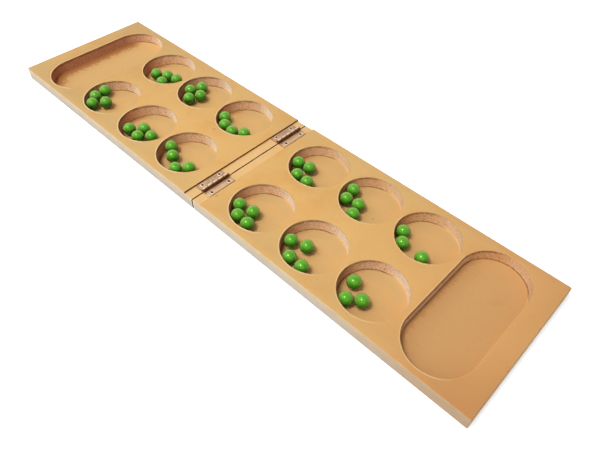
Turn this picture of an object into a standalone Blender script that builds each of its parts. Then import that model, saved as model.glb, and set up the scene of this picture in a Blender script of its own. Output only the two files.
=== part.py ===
"""A folding mancala board, open flat on a table, with its seeds in the pits.

Two routed boards meet at a seam in the middle. Each holds six round pits and, across its
outer end, a long store. Two butt hinges with rolled knuckles lie in a shallow rabbet along
the seam, knuckles up, so the left board folds over onto the right one, face to face. Each
hinge's pin is pressed into the knuckles of its left leaf and is one solid with them.

The origin is under the middle of the seam, on the surface that the board lies on.
+X runs along the right board, +Y to the far side, +Z up. Lengths are in metres.
"""

from itertools import combinations
from math import cos, pi, radians, sin, sqrt

import bmesh
import bpy
from mathutils import Matrix, Vector

MM = 0.001

# Fits that several pieces share
CLEARANCE = 0.3 * MM  # between pieces that rest on each other
CUT_OVERRUN = 0.5 * MM  # how far a cutter stands out of what it cuts

# The boards, from the seam outwards and from the long side inwards
BOARD_THICKNESS = 11.6 * MM
SEAM_GAP = 0.5 * MM
SEAM_TO_PIT = 19.65 * MM
PIT_WEB = 4.1 * MM
PIT_TO_STORE = 4.6 * MM
STORE_TO_END = 15.9 * MM
PIT_TO_SIDE = 6.7 * MM
ROW_WEB = 14.6 * MM
EDGE_EASE = 1.0 * MM
EDGE_EASE_STEPS = 2

# The pits and the stores, cut with one round-nosed cutter
PIT_RADIUS = 24.5 * MM
PIT_FLOOR = 1.4 * MM
STORE_WIDTH = 49.9 * MM
STORE_TO_SIDE = 5.5 * MM
STORE_FLOOR = 2.6 * MM
RIM_EASE = 0.4 * MM
FLOOR_FILLET = 0.7 * MM
FLOOR_FILLET_STEPS = 1
RECESS_SIDES = 40
PITS_IN_ROW = 3

# The hinges, measured open
HINGE_LENGTH = 26.0 * MM
HINGE_FROM_SIDE = {"near": 23.8 * MM, "far": 21.5 * MM}  # to the hinge's middle
LEAF_WIDTH = 8.0 * MM  # from the pin's axis to the leaf's outer edge
LEAF_THICKNESS = 0.8 * MM
LEAF_TO_STEP = 1.1 * MM
KNUCKLE_RADIUS = 1.7 * MM
KNUCKLE_GAP = 0.2 * MM
KNUCKLES = 5
CURL_SWEEP = radians(285)
CURL_STEPS = 14
FOLD_GAP = 0.8 * MM  # between the faces of the folded boards
PIN_CLEARANCE = 0.1 * MM
PIN_PROUD = 0.3 * MM  # how far each end stands out of the hinge
PIN_SHOWN = radians(330)  # where the pin meets the leaf again, past the slit of a knuckle
PIN_CHAMFER = 0.2 * MM
PIN_SIDES = 14

# The countersunk screws, two in each leaf
SCREW_FROM_EDGE = 2.3 * MM
SCREW_FROM_END = 4.45 * MM
SCREW_HEAD_RADIUS = 1.75 * MM
SCREW_SHANK_RADIUS = 0.8 * MM
SCREW_TIP_RADIUS = 0.15 * MM
SCREW_TIP_LENGTH = 1.6 * MM
SCREW_COVER = 2.5 * MM  # wood left under the screw's tip
SCREW_CLEARANCE = 0.15 * MM
SCREW_SIDES = 12
RECESS_ARM = 0.85 * MM
RECESS_SLOT = 0.4 * MM
RECESS_DEPTH = 0.5 * MM

# The seeds
SEED_DIAMETER = 10.7 * MM
SEED_MERIDIANS = 12
SEED_RINGS = 7
SETTLE_ROUNDS = 400

# Where each seed lies, as shares of the pit's radius from the pit's centre. Pits count
# outwards from the seam. Two pits next to the right store hold three seeds each.
SEED_PLACE_SHARES = {
    ("left", "near", 1): ((-0.75, -0.10), (-0.34, -0.37), (0.22, -0.67), (0.51, -0.36)),
    ("left", "near", 2): ((-0.38, -0.55), (0.01, -0.25), (0.21, -0.60), (0.50, -0.26)),
    ("left", "near", 3): ((-0.74, 0.09), (-0.67, -0.34), (-0.42, -0.62), (-0.06, -0.30)),
    ("left", "far", 1): ((-0.66, -0.36), (-0.35, -0.62), (0.07, -0.68), (0.45, -0.50)),
    ("left", "far", 2): ((-0.68, -0.18), (-0.51, 0.23), (-0.31, -0.53), (-0.15, -0.14)),
    ("left", "far", 3): ((-0.30, -0.44), (0.16, -0.21), (0.33, -0.61), (0.58, -0.15)),
    ("right", "near", 1): ((-0.69, -0.30), (-0.17, -0.23), (-0.42, -0.64), (0.04, -0.67)),
    ("right", "near", 2): ((-0.72, -0.22), (-0.23, -0.06), (-0.29, -0.70), (0.16, -0.70)),
    ("right", "near", 3): ((-0.61, -0.06), (-0.42, -0.68), (-0.04, -0.38)),
    ("right", "far", 1): ((-0.77, -0.22), (-0.30, -0.15), (-0.37, -0.67), (0.05, -0.70)),
    ("right", "far", 2): ((-0.77, 0.09), (-0.69, -0.38), (-0.24, -0.32), (-0.11, -0.73)),
    ("right", "far", 3): ((-0.74, -0.20), (-0.47, -0.60), (0.25, -0.65)),
}

# Sizes that follow from the ones above
PIT_PITCH = 2 * PIT_RADIUS + PIT_WEB
ROW_Y = PIT_RADIUS + ROW_WEB / 2
SEAM_X = SEAM_GAP / 2
FIRST_PIT_X = SEAM_X + SEAM_TO_PIT + PIT_RADIUS
LAST_PIT_X = FIRST_PIT_X + (PITS_IN_ROW - 1) * PIT_PITCH
STORE_RADIUS = STORE_WIDTH / 2
STORE_X = LAST_PIT_X + PIT_RADIUS + PIT_TO_STORE + STORE_RADIUS
END_X = STORE_X + STORE_RADIUS + STORE_TO_END
BOARD_WIDTH = 2 * (ROW_Y + PIT_RADIUS + PIT_TO_SIDE)
STORE_STRAIGHT = BOARD_WIDTH / 2 - STORE_TO_SIDE - STORE_RADIUS
AXIS_Z = BOARD_THICKNESS + FOLD_GAP / 2
LEAF_BOTTOM = AXIS_Z - KNUCKLE_RADIUS
LEAF_TOP = LEAF_BOTTOM + LEAF_THICKNESS
RABBET_FLOOR = LEAF_BOTTOM - CLEARANCE
RABBET_X = LEAF_WIDTH + LEAF_TO_STEP
CUTBACK_X = KNUCKLE_RADIUS + CLEARANCE
PIN_RADIUS = KNUCKLE_RADIUS - LEAF_THICKNESS - PIN_CLEARANCE
SCREW_X = LEAF_WIDTH - SCREW_FROM_EDGE
SCREW_Y = HINGE_LENGTH / 2 - SCREW_FROM_END
SEED_RADIUS = SEED_DIAMETER / 2
SEED_Z = PIT_FLOOR + CLEARANCE + SEED_RADIUS

SIDES = {"left": -1, "right": 1}
ROWS = {"near": -1, "far": 1}


def clear_scene():
    """An empty scene to build in."""
    for thing in list(bpy.data.objects):
        bpy.data.objects.remove(thing, do_unlink=True)


def material(name, colour, roughness, metallic=0.0):
    """A plain Principled finish."""
    made = bpy.data.materials.new(name)
    made.use_nodes = True
    shader = made.node_tree.nodes["Principled BSDF"]
    shader.inputs["Base Color"].default_value = (*colour, 1.0)
    shader.inputs["Roughness"].default_value = roughness
    shader.inputs["Metallic"].default_value = metallic
    return made


def finished_mesh(bm, name, finish, smooth_angle):
    """Turns a bmesh into a mesh with its faces outwards and its round faces smooth."""
    bmesh.ops.recalc_face_normals(bm, faces=bm.faces)
    mesh = bpy.data.meshes.new(name)
    bm.to_mesh(mesh)
    bm.free()
    mesh.shade_smooth()
    mesh.set_sharp_from_angle(angle=smooth_angle)
    mesh.materials.append(finish)
    return mesh


def placed(name, mesh, parent):
    """An object whose mesh is in world coordinates, carried by an empty."""
    thing = bpy.data.objects.new(name, mesh)
    bpy.context.scene.collection.objects.link(thing)
    thing.parent = parent
    thing.location = -parent.location
    return thing


def frame_empty(name, height):
    """An empty over the middle of the seam that carries one half's pieces."""
    empty = bpy.data.objects.new(name, None)
    bpy.context.scene.collection.objects.link(empty)
    empty.location = (0, 0, height)
    return empty


def combine(thing, name, bm, operation="DIFFERENCE"):
    """Cuts the shapes in bm out of an object, or joins them to it with UNION."""
    tool = placed(name, finished_mesh(bm, name, thing.data.materials[0], pi / 6), thing.parent)
    tool.hide_render = True
    tool.display_type = "WIRE"
    modifier = thing.modifiers.new(name, "BOOLEAN")
    modifier.operation = operation
    modifier.object = tool


def ring(bm, centre, radius, height, sides, straight=0.0):
    """A ring of vertices: a circle, or two half circles drawn apart along Y."""
    made = []
    for k in range(sides):
        angle = 2 * pi * (k + 0.5) / sides
        away = straight if sin(angle) > 0 else -straight
        x = centre[0] + radius * cos(angle)
        y = centre[1] + radius * sin(angle) + away
        made.append(bm.verts.new((x, y, height)))
    return made


def turned(bm, centre, profile, sides, straight=0.0):
    """A closed solid with rings from a profile of (radius, height), from the bottom up."""
    rings = [ring(bm, centre, r, z, sides, straight) for r, z in profile]
    for low, high in zip(rings, rings[1:]):
        for k in range(sides):
            n = (k + 1) % sides
            bm.faces.new((low[k], low[n], high[n], high[k]))
    bm.faces.new(tuple(reversed(rings[0])))
    bm.faces.new(rings[-1])


def extruded(bm, outline, low_y, high_y):
    """A closed solid from an outline of (x, z), drawn along Y."""
    near = [bm.verts.new((x, low_y, z)) for x, z in outline]
    far = [bm.verts.new((x, high_y, z)) for x, z in outline]
    for k in range(len(outline)):
        n = (k + 1) % len(outline)
        bm.faces.new((near[k], near[n], far[n], far[k]))
    bm.faces.new(near)
    bm.faces.new(tuple(reversed(far)))


def recess_profile(radius, floor):
    """A routed recess in section: flat floor, small fillet, upright wall, eased rim."""
    profile = []
    for step in range(FLOOR_FILLET_STEPS + 1):
        angle = pi / 2 * step / FLOOR_FILLET_STEPS
        inset = FLOOR_FILLET * (1 - sin(angle))
        profile.append((radius - inset, floor + FLOOR_FILLET * (1 - cos(angle))))
    profile.append((radius, BOARD_THICKNESS - RIM_EASE))
    above = RIM_EASE + CUT_OVERRUN
    profile.append((radius + above, BOARD_THICKNESS + CUT_OVERRUN))
    return profile


def pit_centre(side, row, number):
    """The middle of a pit, in the plane of the board."""
    x = FIRST_PIT_X + (number - 1) * PIT_PITCH
    return SIDES[side] * x, ROWS[row] * ROW_Y


def hinge_y(row):
    """The middle of a hinge, along the seam."""
    return ROWS[row] * (BOARD_WIDTH / 2 - HINGE_FROM_SIDE[row])


def screw_centres(side, row):
    """The two screws of one leaf."""
    x = SIDES[side] * SCREW_X
    return [(x, hinge_y(row) + end * SCREW_Y) for end in (-1, 1)]


def is_outer_edge(edge):
    """True for an edge that stands out, and false for the inner corner of the step."""
    return edge.is_manifold and edge.calc_face_angle_signed() > radians(45)


def board(side, parent, finish):
    """One half of the board, with its rabbet, pits, store and pilot holes."""
    sign = SIDES[side]
    outline = [
        (sign * SEAM_X, 0),
        (sign * END_X, 0),
        (sign * END_X, BOARD_THICKNESS),
        (sign * RABBET_X, BOARD_THICKNESS),
        (sign * RABBET_X, RABBET_FLOOR),
        (sign * SEAM_X, RABBET_FLOOR),
    ]
    slab = bmesh.new()
    extruded(slab, outline, -BOARD_WIDTH / 2, BOARD_WIDTH / 2)
    bmesh.ops.recalc_face_normals(slab, faces=slab.faces)
    bmesh.ops.bevel(
        slab,
        geom=[edge for edge in slab.edges if is_outer_edge(edge)],
        offset=EDGE_EASE,
        offset_type="OFFSET",
        segments=EDGE_EASE_STEPS,
        profile=0.5,
        affect="EDGES",
    )
    name = f"{side}_board"
    made = placed(name, finished_mesh(slab, name, finish, radians(30)), parent)

    recesses = bmesh.new()
    for row in ROWS:
        for number in range(1, PITS_IN_ROW + 1):
            profile = recess_profile(PIT_RADIUS, PIT_FLOOR)
            turned(recesses, pit_centre(side, row, number), profile, RECESS_SIDES)
    profile = recess_profile(STORE_RADIUS, STORE_FLOOR)
    turned(recesses, (sign * STORE_X, 0), profile, RECESS_SIDES, STORE_STRAIGHT)
    combine(made, f"{side}_recess_cutter", recesses)

    pilots = bmesh.new()
    radius = SCREW_SHANK_RADIUS + SCREW_CLEARANCE
    depths = (SCREW_COVER - CLEARANCE, RABBET_FLOOR + CUT_OVERRUN)
    for row in ROWS:
        for centre in screw_centres(side, row):
            turned(pilots, centre, [(radius, z) for z in depths], SCREW_SIDES)
    combine(made, f"{side}_pilot_cutter", pilots)


def arc(sign, radius, start, end, steps):
    """Points round the pin's axis in section, from under it and over the other board."""
    points = []
    for step in range(steps + 1):
        angle = start + (end - start) * step / steps
        points.append((-sign * radius * sin(angle), AXIS_Z - radius * cos(angle)))
    return points


def curl_outline(side):
    """A knuckle in section: the sheet runs under the pin and curls back over it.

    The right leaf's knuckles turn on the pin. The left leaf's grip it, so there the pin
    fills the knuckle and shows only in the slit where the sheet ends.
    """
    sign = SIDES[side]
    bore = KNUCKLE_RADIUS - LEAF_THICKNESS
    outside = arc(sign, KNUCKLE_RADIUS, 0, CURL_SWEEP, CURL_STEPS)
    if side == "right":
        return outside + arc(sign, bore, CURL_SWEEP, 0, CURL_STEPS)
    shown = arc(sign, bore, CURL_SWEEP, PIN_SHOWN, 2)
    return outside + shown + [(shown[-1][0], LEAF_TOP)]


def knuckle_spans(side, row):
    """Where one leaf's knuckles begin and end: the left leaf has every other one from the first."""
    pitch = (HINGE_LENGTH + KNUCKLE_GAP) / KNUCKLES
    start = hinge_y(row) - HINGE_LENGTH / 2
    own = range(0 if side == "left" else 1, KNUCKLES, 2)
    return [(start + k * pitch, start + (k + 1) * pitch - KNUCKLE_GAP) for k in own]


def leaf(side, row, parent, finish):
    """One hinge leaf: a flat sheet whose knuckles are rolled from the same sheet."""
    sign = SIDES[side]
    rolled = knuckle_spans(side, row)
    # Where the other leaf's knuckles turn, the sheet is cut back past them.
    middle, half = hinge_y(row), HINGE_LENGTH / 2
    between = [y for span in rolled for y in span if abs(y - middle) < half - CLEARANCE]
    stops = [middle - half, *between, middle + half]

    bm = bmesh.new()
    inner = {}
    for y in stops:
        for level, z in (("low", LEAF_BOTTOM), ("high", LEAF_TOP)):
            inner[y, level] = bm.verts.new((sign * CUTBACK_X, y, z))
    outer = {}
    for y in (stops[0], stops[-1]):
        for level, z in (("low", LEAF_BOTTOM), ("high", LEAF_TOP)):
            outer[y, level] = bm.verts.new((sign * LEAF_WIDTH, y, z))
    first, last = stops[0], stops[-1]
    for level in ("low", "high"):
        edge = [inner[y, level] for y in stops]
        bm.faces.new(edge + [outer[last, level], outer[first, level]])
    for y in (first, last):
        bm.faces.new((inner[y, "low"], outer[y, "low"], outer[y, "high"], inner[y, "high"]))
    edge = (first, "low"), (last, "low"), (last, "high"), (first, "high")
    bm.faces.new([outer[corner] for corner in edge])

    for low, high in zip(stops, stops[1:]):
        if any(span_low < (low + high) / 2 < span_high for span_low, span_high in rolled):
            roll_knuckle(bm, side, low, high, inner)
        else:
            corners = ((low, "low"), (low, "high"), (high, "high"), (high, "low"))
            bm.faces.new([inner[corner] for corner in corners])
    name = f"{row}_{side}_hinge_leaf"
    made = placed(name, finished_mesh(bm, name, finish, radians(30)), parent)
    if side == "left":
        combine(made, f"{row}_hinge_pin_guide", hinge_pin(row), "UNION")

    holes = bmesh.new()
    reach = SCREW_HEAD_RADIUS + SCREW_CLEARANCE
    low_radius = reach - LEAF_THICKNESS - CUT_OVERRUN
    profile = [
        (low_radius, LEAF_BOTTOM - CUT_OVERRUN),
        (reach + CUT_OVERRUN, LEAF_TOP + CUT_OVERRUN),
    ]
    for centre in screw_centres(side, row):
        turned(holes, centre, profile, SCREW_SIDES)
    combine(made, f"{name}_hole_cutter", holes)


def roll_knuckle(bm, side, low, high, inner):
    """The curled stretch of a leaf between two places along the seam."""
    curl = curl_outline(side)
    ends = {}
    for y in (low, high):
        rolled = [bm.verts.new((x, y, z)) for x, z in curl]
        ends[y] = [inner[y, "low"], *rolled, inner[y, "high"]]
        bm.faces.new(ends[y])
    for k in range(len(curl) + 1):
        bm.faces.new((ends[low][k], ends[low][k + 1], ends[high][k + 1], ends[high][k]))


def hinge_pin(row):
    """The pin that the right leaf turns on, from end to end of the hinge."""
    end = HINGE_LENGTH / 2 + PIN_PROUD
    tip = PIN_RADIUS - PIN_CHAMFER
    profile = [
        (tip, -end),
        (PIN_RADIUS, PIN_CHAMFER - end),
        (PIN_RADIUS, end - PIN_CHAMFER),
        (tip, end),
    ]
    bm = bmesh.new()
    turned(bm, (0, 0), profile, PIN_SIDES)
    bmesh.ops.transform(bm, matrix=Matrix.Rotation(radians(-90), 4, "X"), verts=bm.verts)
    bmesh.ops.translate(bm, vec=(0, hinge_y(row), AXIS_Z), verts=bm.verts)
    return bm


def leaf_screws(side, row, parent, finish):
    """The two countersunk screws of one leaf, each with a cross recess."""
    neck = LEAF_TOP - (SCREW_HEAD_RADIUS - SCREW_SHANK_RADIUS)
    profile = [
        (SCREW_TIP_RADIUS, SCREW_COVER),
        (SCREW_SHANK_RADIUS, SCREW_COVER + SCREW_TIP_LENGTH),
        (SCREW_SHANK_RADIUS, neck),
        (SCREW_HEAD_RADIUS, LEAF_TOP),
    ]
    for number, centre in enumerate(screw_centres(side, row), start=1):
        screw = bmesh.new()
        turned(screw, centre, profile, SCREW_SIDES)
        name = f"{row}_{side}_leaf_screw_{number}"
        made = placed(name, finished_mesh(screw, name, finish, radians(30)), parent)
        cross = bmesh.new()
        cross_cutter(cross, centre)
        combine(made, f"{name}_cross_cutter", cross)


def cross_cutter(bm, centre):
    """A cross with four arms, as deep as the screwdriver's recess."""
    arm, half = RECESS_ARM, RECESS_SLOT / 2
    quarter = [(arm, -half), (arm, half), (half, half)]
    heights = (LEAF_TOP - RECESS_DEPTH, LEAF_TOP + CUT_OVERRUN)
    levels = []
    for z in heights:
        level = []
        for turn in range(4):
            for x, y in quarter:
                spot = Matrix.Rotation(turn * pi / 2, 2) @ Vector((x, y))
                level.append(bm.verts.new((centre[0] + spot.x, centre[1] + spot.y, z)))
        levels.append(level)
    low, high = levels
    for k in range(len(low)):
        n = (k + 1) % len(low)
        bm.faces.new((low[k], low[n], high[n], high[k]))
    bm.faces.new(tuple(reversed(low)))
    bm.faces.new(high)


def settled(row, number):
    """Where the seeds lie in two pits that close over each other when the board folds.

    Each seed starts at its own share of the pit and is pushed off the wall and off its
    neighbours by no more than it needs. A seed also leaves room for those of the facing pit,
    which come to stand over it with their centres a known height apart.
    """
    places = []
    for side in SIDES:
        for share in SEED_PLACE_SHARES[side, row, number]:
            places.append([side, Vector(share) * PIT_RADIUS])
    beside = SEED_DIAMETER + CLEARANCE
    over = 2 * (AXIS_Z - SEED_Z)
    facing = sqrt(max(beside**2 - over**2, 0))
    reach = PIT_RADIUS - SEED_RADIUS - CLEARANCE
    flip = Vector((-1, 1))
    for _ in range(SETTLE_ROUNDS):
        for a, b in combinations(places, 2):
            same = a[0] == b[0]
            there = b[1] if same else b[1] * flip
            apart = there - a[1]
            short = (beside if same else facing) - apart.length
            if short > 0:
                push = apart.normalized() * short / 2
                a[1] -= push
                b[1] += push if same else push * flip
        for place in places:
            if place[1].length > reach:
                place[1] = place[1].normalized() * reach
    return places


def seed_mesh(finish):
    """One round seed, which every seed shares."""
    bm = bmesh.new()
    bmesh.ops.create_uvsphere(
        bm, u_segments=SEED_MERIDIANS, v_segments=SEED_RINGS, radius=SEED_RADIUS
    )
    return finished_mesh(bm, "seed", finish, pi)


def seeds(parents, finish):
    """Four seeds in most pits, each a loose piece that stands on the pit's floor."""
    mesh = seed_mesh(finish)
    for row in ROWS:
        for number in range(1, PITS_IN_ROW + 1):
            counts = dict.fromkeys(SIDES, 0)
            for side, offset in settled(row, number):
                counts[side] += 1
                x, y = pit_centre(side, row, number)
                name = f"{side}_{row}_pit_{number}_seed_{counts[side]}"
                made = placed(name, mesh, parents[side])
                made.location += Vector((x + offset.x, y + offset.y, SEED_Z))


def build():
    """The whole board, open."""
    clear_scene()
    fibreboard = material("fibreboard", (0.68, 0.42, 0.18), 0.62)
    hinge_metal = material("hinge_metal", (0.47, 0.33, 0.22), 0.34, 1.0)
    screw_metal = material("screw_metal", (0.66, 0.60, 0.54), 0.28, 1.0)
    seed_green = material("seed_green", (0.06, 0.36, 0.015), 0.22)

    parents = {"left": frame_empty("fold_axis", AXIS_Z), "right": frame_empty("right_half", 0)}
    for side in SIDES:
        board(side, parents[side], fibreboard)
        for row in ROWS:
            leaf(side, row, parents[side], hinge_metal)
            leaf_screws(side, row, parents[side], screw_metal)
    seeds(parents, seed_green)
    bpy.context.view_layer.update()


build()
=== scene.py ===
# %% [markdown]
# This lesson dresses a folding mancala board. The real one is two fibreboard halves with
# routed pits, joined by two small butt hinges, with green plastic seeds lying in the pits.
# The measured solids are loaded first. Every piece here takes its size from them.

# %% Load the measured board
from contextlib import contextmanager
from math import cos, pi, radians, sin

import bpy
from mathutils import Euler, Matrix, Vector


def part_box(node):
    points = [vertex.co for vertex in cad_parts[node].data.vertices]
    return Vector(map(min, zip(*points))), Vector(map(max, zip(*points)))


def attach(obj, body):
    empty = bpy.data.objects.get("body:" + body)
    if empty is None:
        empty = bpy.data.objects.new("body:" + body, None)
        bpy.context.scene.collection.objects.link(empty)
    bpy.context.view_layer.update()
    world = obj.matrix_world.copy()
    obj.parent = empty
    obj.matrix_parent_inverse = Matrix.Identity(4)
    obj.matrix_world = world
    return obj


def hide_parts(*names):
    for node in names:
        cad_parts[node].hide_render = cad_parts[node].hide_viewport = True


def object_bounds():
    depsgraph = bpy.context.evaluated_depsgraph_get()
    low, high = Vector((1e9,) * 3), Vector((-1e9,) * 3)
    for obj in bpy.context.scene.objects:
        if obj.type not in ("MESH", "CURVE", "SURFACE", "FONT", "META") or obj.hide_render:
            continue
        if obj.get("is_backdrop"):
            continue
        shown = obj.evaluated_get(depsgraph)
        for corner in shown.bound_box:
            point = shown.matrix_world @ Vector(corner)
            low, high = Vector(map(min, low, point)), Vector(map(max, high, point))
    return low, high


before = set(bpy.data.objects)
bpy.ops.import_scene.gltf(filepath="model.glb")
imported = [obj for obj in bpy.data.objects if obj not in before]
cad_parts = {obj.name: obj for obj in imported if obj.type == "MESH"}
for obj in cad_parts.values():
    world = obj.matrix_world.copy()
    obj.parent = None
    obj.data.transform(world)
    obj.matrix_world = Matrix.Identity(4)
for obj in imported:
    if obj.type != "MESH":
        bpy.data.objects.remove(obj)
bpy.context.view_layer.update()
MM = 0.001


def in_mm(lengths):
    """Lengths in millimetres, for printing."""
    return [round(length / MM, 1) for length in lengths]


# %% [markdown]
# The solids say how long, wide and thick everything is. Reading the sizes from them means
# that the dressed pieces always fit the measured ones. What the boxes can't tell, such as a
# rim's easing, is written here in millimetres.

# %% Sizes
SIDES = {"left": -1, "right": 1}
ROWS = {"near": -1, "far": 1}
PIT_NUMBERS = (1, 2, 3)

board_low, board_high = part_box("right_board")
SEAM_X, END_X = board_low.x, board_high.x
HALF_WIDTH = board_high.y
THICKNESS = board_high.z
RABBET_X = 9.1 * MM
RABBET_FLOOR = 10.0 * MM
EDGE_ROUND = 1.0 * MM

PIT_RADIUS = 24.5 * MM
PIT_FLOOR = 1.4 * MM
FIRST_PIT_X = 44.4 * MM
PIT_PITCH = 53.1 * MM
ROW_Y = 31.8 * MM
STORE_X = 204.65 * MM
STORE_RADIUS = 24.95 * MM
STORE_STRAIGHT = 32.55 * MM
STORE_FLOOR = 2.6 * MM
RIM_ROUND = 0.4 * MM
FLOOR_FILLET = 0.7 * MM

AXIS_Z = 12.0 * MM
KNUCKLE_RADIUS = 1.7 * MM
SHEET = 0.8 * MM
LEAF_BOTTOM = AXIS_Z - KNUCKLE_RADIUS
LEAF_TOP = LEAF_BOTTOM + SHEET
LEAF_WIDTH = 8.0 * MM
HINGE_LENGTH = 26.0 * MM
HINGE_Y = {"near": -39.2 * MM, "far": 41.5 * MM}
SCREW_X = 5.7 * MM
SCREW_Y = 8.55 * MM
print("board half in mm:", in_mm(board_high - board_low))

# %% [markdown]
# Everything is modelled as by hand, so a few habits come up again and again: start with
# nothing selected, pick vertices or faces by where they are before an edit, and fix the
# finished piece's place in its mesh. Each habit gets a small function.

# %% Helpers for modelling
def deselect_all():
    """Nothing is selected, so that the next operator acts on the new piece alone."""
    if bpy.context.object and bpy.context.object.mode != "OBJECT":
        bpy.ops.object.mode_set(mode="OBJECT")
    bpy.ops.object.select_all(action="DESELECT")


def make_active(thing):
    """One object is selected and active."""
    deselect_all()
    thing.select_set(True)
    bpy.context.view_layer.objects.active = thing


def apply_place(thing):
    """The object's place, turn and size go into its mesh."""
    make_active(thing)
    bpy.ops.object.transform_apply(location=True, rotation=True, scale=True)


def apply_modifier(thing, kind, **settings):
    """Adds a modifier with these settings and applies it."""
    make_active(thing)
    modifier = thing.modifiers.new(kind.lower(), kind)
    for key, value in settings.items():
        setattr(modifier, key, value)
    bpy.ops.object.modifier_apply(modifier=modifier.name)


@contextmanager
def editing(thing, test=lambda place: True, kind="VERT"):
    """Edit mode, with the vertices or faces selected that pass the test."""
    make_active(thing)
    bpy.ops.object.mode_set(mode="EDIT")
    bpy.context.tool_settings.mesh_select_mode = (kind == "VERT", False, kind == "FACE")
    bpy.ops.mesh.select_all(action="DESELECT")
    bpy.ops.object.mode_set(mode="OBJECT")
    if kind == "FACE":
        for face in thing.data.polygons:
            face.select = test(face.center, face.normal)
    else:
        for vertex in thing.data.vertices:
            vertex.select = test(vertex.co)
    bpy.ops.object.mode_set(mode="EDIT")
    yield
    bpy.ops.object.mode_set(mode="OBJECT")


def extrude(way):
    """Extrudes what is selected and moves the new part this way."""
    bpy.ops.mesh.extrude_region_move(TRANSFORM_OT_translate={"value": way})


def outward(thing):
    """Merges doubled vertices and turns all faces outwards."""
    with editing(thing):
        bpy.ops.mesh.remove_doubles(threshold=0.0001 * MM)
        bpy.ops.mesh.normals_make_consistent(inside=False)
    if sum(p.center.dot(p.normal) * p.area for p in thing.data.polygons) < 0:
        with editing(thing):
            bpy.ops.mesh.flip_normals()


def add_block(name, centre, size):
    """A plain block."""
    deselect_all()
    bpy.ops.mesh.primitive_cube_add(size=1, location=centre, scale=size)
    block = bpy.context.object
    block.name = block.data.name = name
    apply_place(block)
    return block


def joined(things, name):
    """Several objects as one."""
    deselect_all()
    for thing in things:
        thing.select_set(True)
    bpy.context.view_layer.objects.active = things[0]
    bpy.ops.object.join()
    things[0].name = name
    return things[0]


def cut_with(thing, tool):
    """Cuts a shape out of a piece and throws the shape away."""
    apply_modifier(thing, "BOOLEAN", operation="DIFFERENCE", solver="EXACT", object=tool)
    bpy.data.objects.remove(tool, do_unlink=True)


def copy_of(thing, name):
    """A copy with a mesh of its own."""
    made = thing.copy()
    made.data = thing.data.copy()
    made.name = made.data.name = name
    bpy.context.scene.collection.objects.link(made)
    return made


def give(thing, *finishes):
    """These finishes and no others."""
    thing.data.materials.clear()
    for finish in finishes:
        thing.data.materials.append(finish)


def smooth(thing, angle):
    """Round faces are shaded smooth, and edges sharper than the angle stay crisp."""
    make_active(thing)
    bpy.ops.object.shade_smooth_by_angle(angle=radians(angle))


# %% [markdown]
# A routed pit, a seed's gate mark and a screw are all turned shapes: rings of points, each
# with its own radius and height. By hand that is a circle that is extruded upwards and
# scaled, again and again, and closed at both ends. One helper does it for all of them.

# %% Helper for turned shapes
def turned(name, centre, profile, sides):
    """A closed solid of revolution from (radius, height) pairs, from the bottom up."""
    radius, height = profile[0]
    deselect_all()
    bpy.ops.mesh.primitive_circle_add(
        vertices=sides, radius=radius, fill_type="NGON", location=(*centre, height)
    )
    made = bpy.context.object
    made.name = made.data.name = name
    bpy.ops.object.mode_set(mode="EDIT")
    bpy.ops.mesh.select_all(action="SELECT")
    for new_radius, new_height in profile[1:]:
        extrude((0, 0, new_height - height))
        share = new_radius / radius
        bpy.ops.transform.resize(value=(share, share, 1), center_override=(*centre, new_height))
        radius, height = new_radius, new_height
    bpy.ops.object.mode_set(mode="OBJECT")
    apply_place(made)
    outward(made)
    return made


# %% [markdown]
# Each finish is a node material with real detail in it. They all start the same way, with a
# Principled shader, a base colour and the piece's own coordinates. Other colours are laid
# over the base, each by one or more shares. A share is written as a value, the two ends of
# its range, and how much there is at the second end. The value is noise, a coordinate or the
# way that the surface faces. Short helpers keep each finish readable.

# %% Helpers for finishes
class NodeTree:
    """The nodes of a material or of the world, while they are being made."""

    def __init__(self, tree):
        self.tree = tree

    def link(self, source, target):
        """Joins an output to an input, or writes a plain value or colour into it."""
        if isinstance(source, bpy.types.NodeSocket):
            self.tree.links.new(source, target)
        else:
            target.default_value = (*source, 1) if isinstance(source, tuple) else source

    def node(self, kind, **inputs):
        """A new node of this kind, with these sources at the inputs of the same names."""
        node = self.tree.nodes.new("ShaderNode" + kind)
        for key, source in inputs.items():
            self.link(source, node.inputs[key.replace("_", " ").title()])
        return node

    def reckon(self, operation, *values):
        """Arithmetic on values."""
        node = self.node("Math")
        node.operation = operation
        for value, target in zip(values, node.inputs):
            self.link(value, target)
        return node.outputs["Value"]

    def times(self, product, *others):
        """Several values multiplied."""
        for value in others:
            product = self.reckon("MULTIPLY", product, value)
        return product

    def minus(self, first, second):
        """One value less another."""
        return self.reckon("SUBTRACT", first, second)

    def hypotenuse(self, first, second):
        """The length of two sides at a right angle."""
        squares = self.times(first, first), self.times(second, second)
        return self.reckon("SQRT", self.reckon("ADD", *squares))

    def spread(self, value, low, high, to_high=1.0, to_low=0.0):
        """A value's range, from low to high, stretched onto the range from to_low to to_high."""
        ends = {"from_min": low, "from_max": high, "to_min": to_low, "to_max": to_high}
        node = self.node("MapRange", value=value, **ends)
        node.interpolation_type = "SMOOTHSTEP"
        return node.outputs["Result"]

    def seen_directly(self):
        """1 for rays from the camera and for reflections, 0 for rays that carry light."""
        seen = self.node("LightPath").outputs
        reflected = self.reckon("MAXIMUM", seen["Is Glossy Ray"], seen["Is Transmission Ray"])
        return self.reckon("MAXIMUM", seen["Is Camera Ray"], reflected)


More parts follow.
